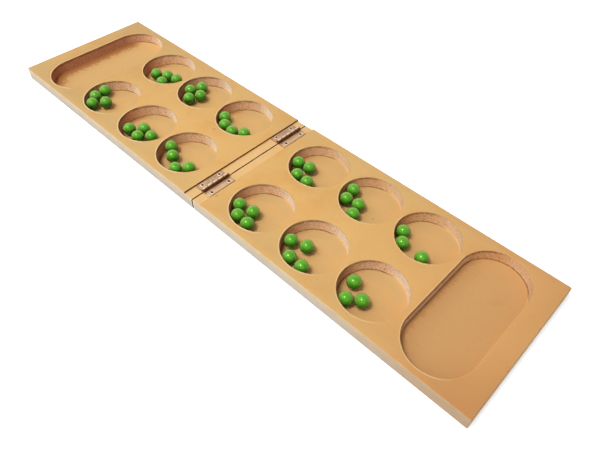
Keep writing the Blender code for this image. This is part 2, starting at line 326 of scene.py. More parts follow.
class Finish(NodeTree):
    """A node material being made: a base colour with others laid over it."""

    def __init__(self, name, base, roughness, metallic=0.0, specular=0.5):
        self.material = bpy.data.materials.new(name)
        self.material.use_nodes = True
        super().__init__(self.material.node_tree)
        self.shader = self.tree.nodes["Principled BSDF"]
        self.base = base
        self.set("Roughness", roughness)
        self.set("Metallic", metallic)
        self.set("Specular IOR Level", specular)
        coordinates = self.node("TexCoord").outputs
        self.place, self.normal = coordinates["Object"], coordinates["Normal"]

    def set(self, key, source):
        """One of the shader's inputs."""
        self.link(source, self.shader.inputs[key])

    def noise(self, size, detail=4, roughness=0.55, stretch=(1, 1, 1), turn=0.0, distortion=0.0):
        """Cloudy noise whose lumps are about this big, in metres, before they are stretched."""
        turning = Vector((0, 0, turn))
        place = self.node("Mapping", vector=self.place, scale=Vector(stretch), rotation=turning)
        settings = {"detail": detail, "roughness": roughness, "distortion": distortion}
        vector = place.outputs["Vector"]
        return self.node("TexNoise", vector=vector, scale=1 / size, **settings).outputs["Fac"]

    def specks(self, size):
        """The distance to the nearest of many scattered points this far apart."""
        return self.node("TexVoronoi", vector=self.place, scale=1 / size).outputs["Distance"]

    def mix(self, share, first, second):
        """Two colours mixed by a share."""
        node = self.node("Mix")
        node.data_type = "RGBA"
        self.link(share, node.inputs["Factor"])
        colours = [s for s in node.inputs if s.type == "RGBA"]
        self.link(first, colours[0])
        self.link(second, colours[1])
        return next(s for s in node.outputs if s.type == "RGBA")

    def over(self, colour, *shares):
        """Lays a colour over the base, by the product of shares. A range is spread first."""
        shares = [self.spread(*s) if isinstance(s, tuple) else s for s in shares]
        self.base = self.mix(self.times(*shares), self.base, colour)

    def axis(self, letter):
        """One coordinate of the piece."""
        return self.node("SeparateXYZ", vector=self.place).outputs[letter]

    def away(self, letter):
        """How far a point is from the board's middle along one axis."""
        return self.reckon("ABSOLUTE", self.axis(letter))

    def facing(self, azimuth):
        """How far the surface faces one way on the board, from -1 to 1."""
        node = self.node("VectorMath")
        node.operation = "DOT_PRODUCT"
        self.link(self.normal, node.inputs[0])
        self.link(Vector((cos(radians(azimuth)), sin(radians(azimuth)), 0)), node.inputs[1])
        return node.outputs["Value"]

    def facing_up(self):
        """How far the surface faces up, from -1 to 1."""
        return self.node("SeparateXYZ", vector=self.normal).outputs["Z"]

    def bump(self, height, depth, strength):
        """Bumps this deep, in metres, on the shader's normal."""
        node = self.node("Bump", height=height, distance=depth, strength=strength)
        self.set("Normal", node.outputs["Normal"])

    def finished(self):
        """The material, with its layers of colour on the shader."""
        self.set("Base Color", self.base)
        return self.material


# %% [markdown]
# Many marks on the board follow the edges of its recesses. A pale ring lies on the face round
# the near and left of each recess, with a dark line of painted shade inside it. The floor has
# a reddish smear at the foot of the left wall, partly the cutter's fuzz and partly painted
# shadow of that wall, and a broken dark line of painted shade in the corner at the foot of the
# walls, except where they face the key lamp. So the finishes need to know how far a point is
# from the nearest pit or store, and on which side of it. That could be painted by hand, but
# the recesses are circles and one long round-ended slot, so it can be reckoned in the nodes.

# %% The nearest recess
class NearestRecess:
    """How far outside the nearest pit or store a point is, and on which side of it."""

    def __init__(self, made):
        self.made = made
        reckon = made.reckon
        far_out, far_up = made.away("X"), made.away("Y")
        number = reckon("DIVIDE", made.minus(far_out, FIRST_PIT_X), PIT_PITCH)
        number = reckon("ROUND", reckon("MAXIMUM", number, 0.0))
        number = reckon("MINIMUM", number, len(PIT_NUMBERS) - 1.0)
        pit_x = reckon("MULTIPLY_ADD", number, PIT_PITCH, FIRST_PIT_X)
        pit_right = made.minus(far_out, pit_x)
        pit_up = made.minus(far_up, ROW_Y)
        pit_reach = made.hypotenuse(pit_right, pit_up)
        store_right = made.minus(far_out, STORE_X)
        store_up = reckon("MAXIMUM", made.minus(far_up, STORE_STRAIGHT), 0.0)
        store_reach = made.hypotenuse(store_right, store_up)
        pit_distance = made.minus(pit_reach, PIT_RADIUS)
        store_distance = made.minus(store_reach, STORE_RADIUS)
        self.distance = reckon("MINIMUM", pit_distance, store_distance)
        self.is_store = reckon("LESS_THAN", store_distance, pit_distance)
        reach = self.pick(store_reach, pit_reach)
        self.right = self.unit("X", self.pick(store_right, pit_right), reach)
        self.up = self.unit("Y", self.pick(store_up, pit_up), reach)

    def pick(self, for_store, for_pit):
        """One value at the stores and another at the pits."""
        gap = self.made.minus(for_store, for_pit)
        return self.made.reckon("MULTIPLY_ADD", self.is_store, gap, for_pit)

    def unit(self, letter, part, reach):
        """One part of the direction away from the recess, with its sign on the board."""
        sign = self.made.reckon("SIGN", self.made.axis(letter))
        return self.made.times(sign, self.made.reckon("DIVIDE", part, reach))

    def side(self, azimuth):
        """How far the point lies on that side of its recess, from -1 to 1."""
        across = self.made.times(self.right, cos(radians(azimuth)))
        return self.made.reckon("MULTIPLY_ADD", self.up, sin(radians(azimuth)), across)


# %% [markdown]
# The faces of the board are lacquered fibreboard: an even tan with soft orange clouds, tiny
# darker fibres and a few smudges, duller at the left end. Towards the right store they are
# warmer and darker, a tone partly the board's own and partly painted shade where the light
# falls off.
# Fibres are noise stretched into short threads. A flat colour would look like paper, so
# several sizes of detail are layered. The floors of the recesses have the same lacquer. They
# are cooler towards the far wall: painted shade that holds back the orange light the lit wall
# throws on them. They are redder at the foot of the left wall: partly the cutter's fuzz, partly
# painted shadow of that wall.

# %% The lacquered face
FACE_TAN = (0.745, 0.440, 0.150)
FACE_EDGE = (0.680, 0.425, 0.160)
FACE_ORANGE = (0.720, 0.370, 0.110)
FACE_WARM = (0.660, 0.330, 0.120)
FACE_FIBRE = (0.480, 0.230, 0.075)
FACE_PALE = (0.960, 0.740, 0.410)
FACE_SHADE = (0.300, 0.110, 0.015)
FACE_BROWN = (0.520, 0.230, 0.080)
DULL_GREY = (0.220, 0.155, 0.095)
SPOT_RED = (0.580, 0.200, 0.080)
STEP_PALE = (0.900, 0.600, 0.290)
SEAM_SHADE = (0.085, 0.026, 0.001)
PALE_RING_SIDE, SHADE_RING_SIDE, FAR_SIDE, LAMP_FACING_SIDE = 240, 200, 105, 40
SHADED_EDGES = ((135, 0.12), (0, 0.30))


def fibre_marks(made, strength):
    """Threads, dark specks, a few red spots and smudges."""
    threads = made.noise(1.0 * MM, detail=2, stretch=(0.35, 1, 1), turn=0.5)
    made.over(FACE_FIBRE, (threads, 0.58, 0.78, 0.20 * strength))
    crossed = made.noise(1.3 * MM, detail=2, stretch=(1, 0.3, 1), turn=-0.3)
    made.over(FACE_FIBRE, (crossed, 0.60, 0.80, 0.20 * strength))
    made.over(FACE_FIBRE, (made.specks(7 * MM), 0.09, 0.03, 0.45 * strength))
    made.over(SPOT_RED, (made.specks(31 * MM), 0.060, 0.025, 0.55 * strength))
    smudges = made.noise(17 * MM, distortion=0.3)
    made.over(FACE_FIBRE, (smudges, 0.60, 0.80, 0.16 * strength))


def shaded_right_end(made):
    """A warmer brown towards the right end, most of all in the near corner: painted shade where
    the light falls off, on a tone partly the board's own.
    """
    made.over(FACE_WARM, (made.axis("X"), 90 * MM, 250 * MM, 0.8))
    corner = made.minus(made.axis("X"), made.axis("Y"))
    made.over(FACE_BROWN, (corner, 235 * MM, 305 * MM, 0.75))


def less_on_the_right(made):
    """The pale rings, the walls' painted light and the floors' reddish smear fade towards the
    right end.
    """
    return made.spread(made.axis("X"), -40 * MM, 170 * MM, 0.40, 1.0)


def at_far_right(made):
    """1 at the right half's far row, whose walls are the least pale, and 0 elsewhere."""
    along = made.spread(made.axis("X"), 10 * MM, 60 * MM)
    return made.times(along, made.spread(made.axis("Y"), -10 * MM, 20 * MM))


def foot_shade_share(made, recess):
    """Where the painted shade lies at a wall's foot: all round except where the wall faces the
    key lamp, and at the right store along its far side only, reaching further round.
    """
    usual = made.spread(recess.side(LAMP_FACING_SIDE), 0.35, 0.72, 0.0, 1.0)
    at_right_end = made.spread(recess.side(FAR_SIDE), 0.00, 0.35)
    right_end = made.reckon("GREATER_THAN", made.axis("X"), STORE_X - STORE_RADIUS - 1 * MM)
    more = made.times(right_end, made.minus(at_right_end, usual))
    return made.reckon("ADD", usual, more)


def lacquered_face():
    """The top faces, the underside and the rounded edges."""
    made = Finish("lacquered_face", FACE_TAN, roughness=0.5, specular=0.25)
    made.over(FACE_EDGE, (made.away("Y"), 20 * MM, 60 * MM))
    clouds = made.noise(22 * MM, distortion=0.3)
    made.over(FACE_ORANGE, (clouds, 0.45, 0.72, 0.65))
    # Painted shade: warmer and darker towards the right end.
    shaded_right_end(made)
    made.over(DULL_GREY, (made.axis("X"), -60 * MM, -240 * MM, 0.17))
    fibre_marks(made, strength=1.0)
    recess = NearestRecess(made)
    on_top = made.reckon("GREATER_THAN", made.axis("Z"), THICKNESS / 2)
    patchy = made.spread(made.noise(6 * MM, detail=3), 0.30, 0.60, 0.95, 0.55)
    # A pale ring on the face round the near and left of each recess.
    ring = (recess.distance, 1.45 * MM, 1.05 * MM)
    pale_side = (recess.side(PALE_RING_SIDE), 0.10, 0.60)
    made.over(FACE_PALE, on_top, patchy, ring, pale_side, less_on_the_right(made))
    # Painted shade: a dark line just outside the left rim of each recess.
    ring = (recess.distance, 0.75 * MM, 0.50 * MM)
    dark_share = (recess.side(SHADE_RING_SIDE), 0.35, 0.85, 0.9)
    made.over(FACE_SHADE, on_top, patchy, ring, dark_share)
    made.over(STEP_PALE, on_top, (made.away("X"), 9.4 * MM, 8.8 * MM, 0.45))
    # Painted shade: a dark line along the gap at the seam.
    made.over(SEAM_SHADE, (made.away("X"), 0.66 * MM, 0.44 * MM))
    # Painted shade: a thin dark line along the top of the left half's step.
    from_step = made.reckon("ABSOLUTE", made.reckon("ADD", made.axis("X"), RABBET_X))
    made.over(SEAM_SHADE, on_top, (from_step, 0.22 * MM, 0.08 * MM, 0.6))
    # Painted shade: greyer on the rounded edges that turn away from the light, at the far and
    # left sides and at the right end.
    for way, start in SHADED_EDGES:
        made.over(DULL_GREY, (made.facing(way), start, start + 0.25, 0.75))
    made.set("Roughness", made.spread(made.noise(7 * MM), 0.3, 0.7, 0.58, 0.46))
    made.bump(made.noise(1.6 * MM, detail=3), 0.02 * MM, 0.5)
    return made.finished()


# %% The floors
FLOOR_TAN = (0.690, 0.415, 0.160)
FLOOR_COOL = (0.575, 0.368, 0.152)
FLOOR_RED = (0.380, 0.125, 0.035)
FOOT_SHADE = (0.110, 0.036, 0.012)
COOL_SIDE, SMEARED_SIDE = 95, 200
PIT_SMEAR, STORE_SMEAR = -12 * MM, -28 * MM


def recess_floor():
    """The floors of the pits and stores."""
    made = Finish("recess_floor", FLOOR_TAN, roughness=0.55, specular=0.2)
    clouds = made.noise(13 * MM, distortion=0.3)
    made.over(FACE_ORANGE, (clouds, 0.45, 0.75, 0.25))
    # Painted shade: warmer and darker towards the right end.
    shaded_right_end(made)
    made.over(DULL_GREY, (made.axis("X"), 175 * MM, 180 * MM, 0.12))
    fibre_marks(made, strength=1.2)
    recess = NearestRecess(made)
    in_pit = made.minus(1.0, recess.is_store)
    # Painted shade: cooler near the far wall, holding back the orange light that the lit wall
    # throws onto the floor.
    cool = (recess.side(COOL_SIDE), 0.20, 0.90, 0.9)
    made.over(FLOOR_COOL, in_pit, cool, (recess.distance, -15 * MM, -4 * MM))
    # Partly the cutter's fuzz, partly painted shadow: a reddish smear at the foot of the left
    # wall.
    fuzz = made.noise(2.2 * MM, detail=5, roughness=0.65, stretch=(0.40, 1, 1))
    share = made.minus(0.85, fuzz)
    reach = made.times(recess.pick(STORE_SMEAR, PIT_SMEAR), less_on_the_right(made), share)
    past_reach = made.minus(recess.distance, reach)
    fuzzy = (past_reach, -1.2 * MM, 1.2 * MM, 1.0, 0.35)
    near_pit = made.spread(recess.distance, -8 * MM, -0.5 * MM, 0.75)
    near_wall = recess.pick(made.spread(recess.distance, -21 * MM, -0.5 * MM), near_pit)
    left_foot = (recess.side(SMEARED_SIDE), 0.35, 0.85)
    made.over(FLOOR_RED, near_wall, left_foot, fuzzy, less_on_the_right(made))
    # Painted shade: a broken dark line in the corner at the foot of the walls.
    foot = made.spread(recess.distance, -1.25 * MM, -0.80 * MM)
    dots = (made.noise(0.9 * MM, detail=3, roughness=0.7), 0.38, 0.62, 0.15, 0.65)
    made.over(FOOT_SHADE, foot, dots, foot_shade_share(made, recess))
    made.bump(made.noise(1.3 * MM, detail=3), 0.03 * MM, 0.6)
    return made.finished()


# %% [markdown]
# Where the cutter has been, the wall shows the board's inside: rough and full of short brown
# fibres that took up more lacquer. Its colours are painted light and shade by the way each
# part faces: nearly white where it faces the key lamp, and orange, red-brown and dark where it
# faces away. The wall's top and the corner at its foot carry a thin dark line of painted shade
# that breaks up here and there, left out where the wall faces the lamp.

# %% The routed walls
WALL_PALE = (0.930, 0.720, 0.510)
WALL_TAN = (0.790, 0.490, 0.290)
WALL_ORANGE = (0.860, 0.440, 0.190)
WALL_FIBRE = (0.250, 0.095, 0.045)
WALL_SHADE = (0.680, 0.250, 0.120)
WALL_LIT_PALE = (0.960, 0.830, 0.680)
WALL_REDDISH = (0.330, 0.085, 0.035)
WALL_DEEP = (0.260, 0.075, 0.015)
WALL_TOP = (0.180, 0.060, 0.018)
SHADE_WAY, DEEP_WAY, ORANGE_WAY, DARK_WAY, LAMP_FACING_WAY = 50, 40, 330, 350, 235


def routed_wall():
    """The fuzzy wall of a pit or a store, with painted light and shade by the way it faces."""
    made = Finish("routed_wall", WALL_PALE, roughness=0.78, specular=0.08)
    made.over(WALL_TAN, (made.noise(4 * MM), 0.35, 0.75, 0.6))
    # Painted light: nearly white where the wall faces the key lamp, less so at the far right.
    facing_lamp = (made.facing(LAMP_FACING_WAY), 0.50, 0.92, 0.85)
    far_right = at_far_right(made)
    halved = made.reckon("MULTIPLY_ADD", far_right, -0.50, 1.0)
    made.over(WALL_LIT_PALE, facing_lamp, less_on_the_right(made), halved)
    made.over(FACE_TAN, far_right, 0.40)
    # Painted shade: orange on walls turned away from the lamp, like light thrown back by the
    # floor.
    made.over(WALL_ORANGE, (made.facing(ORANGE_WAY), 0.25, 0.95, 0.50))
    # Painted shade: red-brown on the walls that face away from the lamp.
    made.over(WALL_SHADE, (made.facing(SHADE_WAY), 0.05, 1.00, 0.84))
    # Painted shade: redder on the left half's walls that face right, and darker where walls face
    # straight away.
    left_half = (made.axis("X"), 40 * MM, -60 * MM, 0.08)
    made.over(WALL_REDDISH, left_half, (made.facing(DARK_WAY), 0.55, 0.95))
    made.over(WALL_DEEP, (made.facing(DEEP_WAY), 0.76, 0.98, 0.10))
    # Painted shade: redder on the left store's left wall.
    left_end = (made.axis("X"), -176 * MM, -182 * MM, 0.35)
    made.over(WALL_REDDISH, left_end, (made.facing(0), 0.30, 0.95))
    made.over(FACE_WARM, (made.axis("X"), 170 * MM, 185 * MM, 0.30))
    # Less painted shade on the right store's left wall, which is paler.
    store_edge = STORE_X - STORE_RADIUS
    right_store = (made.axis("X"), store_edge - 3 * MM, store_edge)
    made.over(WALL_PALE, right_store, (made.facing(0), 0.90, 0.99, 0.65))
    fibres = made.noise(1.0 * MM, detail=3, roughness=0.75, stretch=(1, 1, 1.4))
    shown = (made.facing(LAMP_FACING_WAY), 0.60, 1.00, 0.60, 1.0)
    made.over(WALL_FIBRE, shown, (fibres, 0.50, 0.64, 0.78))
    # Painted shade: a broken dark band along the wall's top, left out where it faces the lamp.
    top = (made.axis("Z"), THICKNESS - 2.8 * MM, THICKNESS - 1.4 * MM, 0.60)
    broken = (made.noise(3 * MM, detail=3), 0.30, 0.55, 1.0, 0.35)
    made.over(WALL_TOP, top, broken, (made.facing(LAMP_FACING_WAY), 0.35, 0.80, 0.0, 1.0))
    made.bump(fibres, 0.12 * MM, 0.9)
    return made.finished()


def shaded_corner():
    """The fillet where a wall meets its floor: painted pale light where it faces the key lamp,
    and a broken dark line of painted shade elsewhere.
    """
    made = Finish("shaded_corner", FLOOR_TAN, roughness=0.75, specular=0.08)
    made.over(WALL_LIT_PALE, (made.facing(LAMP_FACING_WAY), 0.70, 0.98, 0.85))
    dots = made.noise(0.9 * MM, detail=3, roughness=0.7)
    dark_share = (dots, 0.36, 0.66, 0.35, 0.90)
    made.over(FOOT_SHADE, dark_share, foot_shade_share(made, NearestRecess(made)))
    made.bump(dots, 0.08 * MM, 0.8)
    return made.finished()


# %% [markdown]
# The rims are eased by hand with paper and lacquered with the face. On the near left of each
# recess and along its far-left rim the rim is dark brown: painted shade. The part that turns
# to the light is a shade deeper, so that it doesn't shine more than on the real board.

# %% The worn rims
RIM_TAN = (0.700, 0.420, 0.170)
RIM_SHADED = (0.600, 0.365, 0.155)
RIM_BROWN = (0.270, 0.085, 0.010)
RIM_DARK = (0.170, 0.055, 0.008)
BROWN_WAY, LIT_WAY, DARK_RIM_SIDE = 345, 215, 222


def shaded_rim():
    """The eased edge round each recess, with painted shade on its near-left and far-left sides.
    """
    made = Finish("shaded_rim", RIM_TAN, roughness=0.5, specular=0.2)
    made.over(RIM_SHADED, (made.facing(LIT_WAY), 0.20, 0.60))
    patchy = made.spread(made.noise(5 * MM, detail=3), 0.30, 0.60, 1.0, 0.70)
    # Painted shade: a brown line along the far-left rims.
    made.over(RIM_BROWN, patchy, (made.facing(BROWN_WAY), 0.50, 0.95, 0.60))
    # Painted shade: the rim is dark on the near left of each recess.
    side = NearestRecess(made).side(DARK_RIM_SIDE)
    made.over(RIM_DARK, patchy, (side, 0.45, 0.75, 0.90))
    made.bump(made.noise(0.8 * MM, detail=2), 0.02 * MM, 0.5)
    return made.finished()


# %% [markdown]
# The sawn sides are paler than the faces and have no clouds. They are sealed, but the saw's
# streaks show, and they are yellower at the top and greyer at the foot. The upright face of
# the hinges' step is dark all over: painted shade. The faces at the seam are dark along their
# upper edges and at their ends: painted shade in the narrow gap between them when the board
# is open.

# %% The sawn sides and the step
SAWN_HIGH = (0.740, 0.590, 0.400)
SAWN_LOW = (0.600, 0.550, 0.475)
SAWN_TAN = (0.560, 0.385, 0.225)
SAWN_WHITE = (0.860, 0.820, 0.740)
STEP_SHADE = (0.100, 0.032, 0.002)


def sawn_side():
    """The sides of the board, sawn and sealed."""
    made = Finish("sawn_side", SAWN_LOW, roughness=0.62, specular=0.3)
    made.over(SAWN_HIGH, (made.axis("Z"), 2 * MM, 10 * MM))
    made.over(SAWN_TAN, (made.noise(14 * MM, detail=3), 0.45, 0.75, 0.35))
    # Tan towards the right end: painted shade where the light falls off, on a tone partly the
    # board's own.
    made.over(SAWN_TAN, (made.axis("X"), 110 * MM, 240 * MM, 0.95))
    streaks = made.noise(1.1 * MM, detail=3, stretch=(0.22, 0.22, 1))
    made.over(WALL_TAN, (streaks, 0.50, 0.72, 0.30))
    made.over(SAWN_WHITE, (made.away("X"), 2.4 * MM, 1.2 * MM, 0.9))
    made.bump(streaks, 0.05 * MM, 0.6)
    return made.finished()


def step_and_seam_shade():
    """Painted shade on the upright face of the hinges' step, and on the faces that meet at the
    seam.
    """
    made = Finish("dark_step", SAWN_TAN, roughness=0.7, specular=0.05)
    streaks = made.noise(1.4 * MM, detail=3, stretch=(1, 0.3, 1))
    made.over(WALL_FIBRE, (streaks, 0.50, 0.72, 0.35))
    # Painted shade on the step and along the seam's edges.
    painted_dark = made.mix(made.spread(streaks, 0.45, 0.75, 0.5), STEP_SHADE, WALL_FIBRE)
    on_step = made.spread(made.away("X"), 4 * MM, 6 * MM)
    at_top = made.spread(made.axis("Z"), 6.5 * MM, 8.5 * MM)
    at_end = made.spread(made.away("Y"), HALF_WIDTH - 3 * MM, HALF_WIDTH - 1.5 * MM)
    at_edge = made.reckon("MAXIMUM", at_top, at_end)
    made.over(painted_dark, made.reckon("MAXIMUM", at_edge, on_step))
    made.over(FACE_WARM, on_step, (made.axis("Z"), 10.9 * MM, 10.4 * MM, 0.8))
    made.bump(streaks, 0.05 * MM, 0.6)
    return made.finished()


FINISHES = {
    "face": lacquered_face(),
    "floor": recess_floor(),
    "wall": routed_wall(),
    "corner": shaded_corner(),
    "rim": shaded_rim(),
    "side": sawn_side(),
    "step": step_and_seam_shade(),
}
print("board finishes:", list(FINISHES))

# %% [markdown]
# Each half of the board starts as one block, no thicker than the shallow step that the
# hinges lie in. The face outside the step is extruded upwards, so the step is left behind.
# Then a bevel rounds the long edges, before anything is routed out. The edges at the seam
# and on the step are nearly sharp, so each edge carries a weight: its share of the rounding.

# %% Model one blank
EDGE_STEPS = 4
CRISP_SHARE = 0.15
NEARLY = 0.1 * MM
CLOSE = 0.01 * MM


def outer_edges(mesh):
    """The edges that stand out, found from the two faces that meet at each."""
    meeting = {}
    for polygon in mesh.polygons:
        for key in polygon.edge_keys:
            meeting.setdefault(key, []).append((polygon.normal.copy(), polygon.center.copy()))
    outer = set()
    for key, ((normal, centre), (other_normal, other_centre)) in meeting.items():
        if normal.dot(other_normal) < 0.5 and normal.dot(other_centre - centre) < 0:
            outer.add(frozenset(key))
    return outer


def round_edges(blank):
    """Rounds the outer edges, and those at the seam and on the step only a little."""
    mesh = blank.data
    outer = outer_edges(mesh)
    weights = mesh.attributes.new("bevel_weight_edge", "FLOAT", "EDGE")
    for edge in mesh.edges:
        first, second = (mesh.vertices[k].co for k in edge.vertices)
        at_seam = max(abs(first.x), abs(second.x)) < RABBET_X + NEARLY
        raised = min(first.z, second.z) > RABBET_FLOOR - NEARLY
        along_seam = abs(first.x - second.x) < CLOSE
        share = CRISP_SHARE if along_seam and at_seam and raised else 1.0
        weights.data[edge.index].value = share if frozenset(edge.vertices) in outer else 0.0
    apply_modifier(
        blank, "BEVEL", width=EDGE_ROUND, segments=EDGE_STEPS, limit_method="WEIGHT"
    )


def is_outside_step(centre, normal):
    """Whether a face is the part of the top that the step leaves."""
    return normal.z > 0.9 and abs(centre.x) > RABBET_X


def model_blank(side):
    """One half before routing: a slab with the hinges' step and rounded edges."""
    sign = SIDES[side]
    centre = (sign * (SEAM_X + END_X) / 2, 0, RABBET_FLOOR / 2)
    size = (END_X - SEAM_X, 2 * HALF_WIDTH, RABBET_FLOOR)
    blank = add_block(f"{side}_board_dressed", centre, size)
    with editing(blank):
        bpy.ops.mesh.bisect(plane_co=(sign * RABBET_X, 0, 0), plane_no=(1, 0, 0))
    with editing(blank, is_outside_step, "FACE"):
        extrude((0, 0, THICKNESS - RABBET_FLOOR))
    with editing(blank):
        bpy.ops.mesh.dissolve_limited(angle_limit=radians(1))
    outward(blank)
    round_edges(blank)
    return blank


blanks = {side: model_blank(side) for side in SIDES}
for side, blank in blanks.items():
    print(side, "blank:", len(blank.data.polygons), "faces")

# %% [markdown]
# The pits and stores are routed with a round cutter that leaves a small fillet at the floor,
# and the rim is eased by hand afterwards. The cutting shape carries all of that: a disc that
# is extruded and scaled ring by ring. A store is the same shape pulled apart along its
# length, half of its points each way.

# %% Rout the pits and the stores
RECESS_SIDES = 128
ARC_STEPS = 4
PILOT_SIDES = 24
PILOT_RADIUS = 0.95 * MM
PILOT_FLOOR = 2.2 * MM
CUTTER_PROUD = 0.6 * MM


def recess_rings(radius, floor):
    """Rings of a recess: floor, fillet, wall, rounded rim, and past the face."""
    angles = [pi / 2 * step / ARC_STEPS for step in range(ARC_STEPS + 1)]
    fillet = [
        (radius - FLOOR_FILLET * (1 - sin(a)), floor + FLOOR_FILLET * (1 - cos(a)))
        for a in angles
    ]
    foot = THICKNESS - RIM_ROUND
    rim = [(radius + RIM_ROUND * (1 - cos(a)), foot + RIM_ROUND * sin(a)) for a in angles]
    return [*fillet, *rim, (radius + RIM_ROUND, THICKNESS + CUTTER_PROUD)]


def pull_apart(thing, distance):
    """Moves the far half of a turned shape one way and the near half the other way."""
    for way in (1, -1):
        with editing(thing, lambda place: way * place.y > 0):
            bpy.ops.transform.translate(value=(0, way * distance, 0))


def store_cutter(sign):
    """The long cutter of a store, turned by half a step so that no point lies on the middle."""
    made = turned("store_cutter", (0, 0), recess_rings(STORE_RADIUS, STORE_FLOOR), RECESS_SIDES)
    made.rotation_euler.z = pi / RECESS_SIDES
    apply_place(made)
    pull_apart(made, STORE_STRAIGHT)
    made.location.x = sign * STORE_X
    apply_place(made)
    return made


def screw_places(side, row):
    """Where a leaf's two screws stand."""
    return [(SIDES[side] * SCREW_X, HINGE_Y[row] + end * SCREW_Y) for end in (-1, 1)]


def rout(side):
    """Cuts the pits, the store and the screws' pilot holes into a blank."""
    sign = SIDES[side]
    tools = [store_cutter(sign)]
    pit = recess_rings(PIT_RADIUS, PIT_FLOOR)
    pilot = [(PILOT_RADIUS, PILOT_FLOOR), (PILOT_RADIUS, RABBET_FLOOR + 0.5 * MM)]
    for row in ROWS:
        for number in PIT_NUMBERS:
            centre = (sign * (FIRST_PIT_X + (number - 1) * PIT_PITCH), ROWS[row] * ROW_Y)
            tools.append(turned("pit_cutter", centre, pit, RECESS_SIDES))
        for centre in screw_places(side, row):
            tools.append(turned("pilot_cutter", centre, pilot, PILOT_SIDES))
    cut_with(blanks[side], joined(tools, "recess_cutter"))
    return blanks[side]


boards = {side: rout(side) for side in SIDES}
for side, board in boards.items():
    print(side, "board:", len(board.data.polygons), "faces after routing")

# %% [markdown]
# One board has several finishes. A face gets its finish by where it is and which way it
# points: upright faces inside a recess are routed wall, the band at the rim is worn, upright
# faces round the outside are sawn, and the rest is lacquered. The lacquer reaches over the
# rounded edge, so only faces that are nearly upright count as sawn.

# %% Give the board its finishes
def finish_at(centre, normal):
    """The name of the finish that a face of the board has."""
    within = abs(centre.y) < HALF_WIDTH - 2 * EDGE_ROUND
    within = within and RABBET_X + EDGE_ROUND < abs(centre.x) < END_X - 2 * EDGE_ROUND
    floor = PIT_FLOOR if abs(centre.x) < STORE_X - STORE_RADIUS - EDGE_ROUND else STORE_FLOOR
    if within and centre.z < THICKNESS - CLOSE and normal.z > -0.9:
        if normal.z > 0.999:
            return "floor"
        if centre.z < floor + 0.6 * FLOOR_FILLET:
            return "corner"
        return "rim" if centre.z > THICKNESS - RIM_ROUND - 0.02 * MM else "wall"
    if abs(normal.z) < 0.9 and abs(centre.x) < RABBET_X + 0.2 * MM and abs(normal.x) > 0.45:
        return "step"
    if abs(normal.z) < 0.8 and centre.z < THICKNESS - 0.3 * MM:
        return "side"
    return "face"


def dress_board(side):
    """Finishes, smooth shading, and the body that the board rides on."""
    board = boards[side]
    outward(board)
    give(board, *FINISHES.values())
    names = list(FINISHES)
    used = dict.fromkeys(names, 0)
    for polygon in board.data.polygons:
        name = finish_at(polygon.center, polygon.normal)
        polygon.material_index = names.index(name)
        used[name] += 1
    smooth(board, 32)
    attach(board, f"{side}_half")
    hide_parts(f"{side}_board")
    return used


for side in SIDES:
    print(side, "faces by finish:", dress_board(side))

# %% [markdown]
# The hinges are plain butt hinges in thin plated steel, worn to a warm grey-brown. Rolling
# marks run along the sheet, so the finish has fine streaks in its colour. Its gloss goes
# with duller and darker patches. The left leaves are darker than the right ones. The rolls
# carry a painted highlight on their left, and painted shade on their right and in the gaps
# between the knuckles.

# %% The hinge and screw metals
KNUCKLES = 5
KNUCKLE_GAP = 0.2 * MM
KNUCKLE_PITCH = (HINGE_LENGTH + KNUCKLE_GAP) / KNUCKLES
ROLL_TOP = AXIS_Z - 0.5 * MM
PLATING = (0.53, 0.35, 0.205)
PLATING_DULL = (0.33, 0.20, 0.110)
PLATING_LIGHT = (0.68, 0.45, 0.25)
PLATING_STREAK = (0.66, 0.46, 0.31)
PLATING_HIGHLIGHT = (0.86, 0.63, 0.46)
ROLL_SHADE = (0.110, 0.026, 0.006)
GAP_SHADE = (0.120, 0.050, 0.025)
SCREW_BRIGHT = (0.86, 0.71, 0.56)
SCREW_DULL = (0.62, 0.48, 0.36)
RECESS_SHADE_DARK = (0.050, 0.018, 0.008)
RECESS_SHADE_LIGHT = (0.130, 0.060, 0.030)


def knuckle_end(made):
    """The distance along the seam to the nearest end of a knuckle."""
    near, far = (HINGE_Y[row] - HINGE_LENGTH / 2 - KNUCKLE_GAP / 2 for row in ROWS)
    is_far = made.reckon("GREATER_THAN", made.axis("Y"), 0.0)
    start = made.reckon("MULTIPLY_ADD", is_far, far - near, near)
    along = made.minus(made.axis("Y"), start)
    return made.reckon("PINGPONG", along, KNUCKLE_PITCH / 2)


def hinge_metal():
    """Worn plating on rolled sheet, with a painted highlight on the rolls' left and painted shade
    down their right and between the knuckles.
    """
    made = Finish("worn_hinge_plating", PLATING, roughness=0.38, metallic=1.0)
    patches = made.noise(2.0 * MM, distortion=0.4)
    made.over(PLATING_DULL, (patches, 0.35, 0.70))
    made.over(PLATING_LIGHT, (made.axis("X"), 1.5 * MM, 6.5 * MM, 0.6))
    streaks = made.noise(0.6 * MM, detail=3, stretch=(1, 0.12, 1))
    made.over(PLATING_STREAK, (streaks, 0.45, 0.75, 0.30))
    on_roll = made.spread(made.axis("Z"), LEAF_TOP + 0.1 * MM, ROLL_TOP)
    # Painted highlight on the left of each roll.
    made.over(PLATING_HIGHLIGHT, on_roll, (made.facing(180), -0.35, 0.15))
    # Painted shade down the right of each roll.
    made.over(ROLL_SHADE, on_roll, (made.facing(0), 0.30, 0.62, 0.95))
    # Painted shade in the gaps between the knuckles.
    at_end = (knuckle_end(made), 0.55 * MM, 0.20 * MM, 0.8)
    made.over(GAP_SHADE, on_roll, at_end)
    made.set("Roughness", made.spread(patches, 0.3, 0.7, 0.56, 0.40))
    made.bump(streaks, 0.012 * MM, 0.6)
    return made.finished()


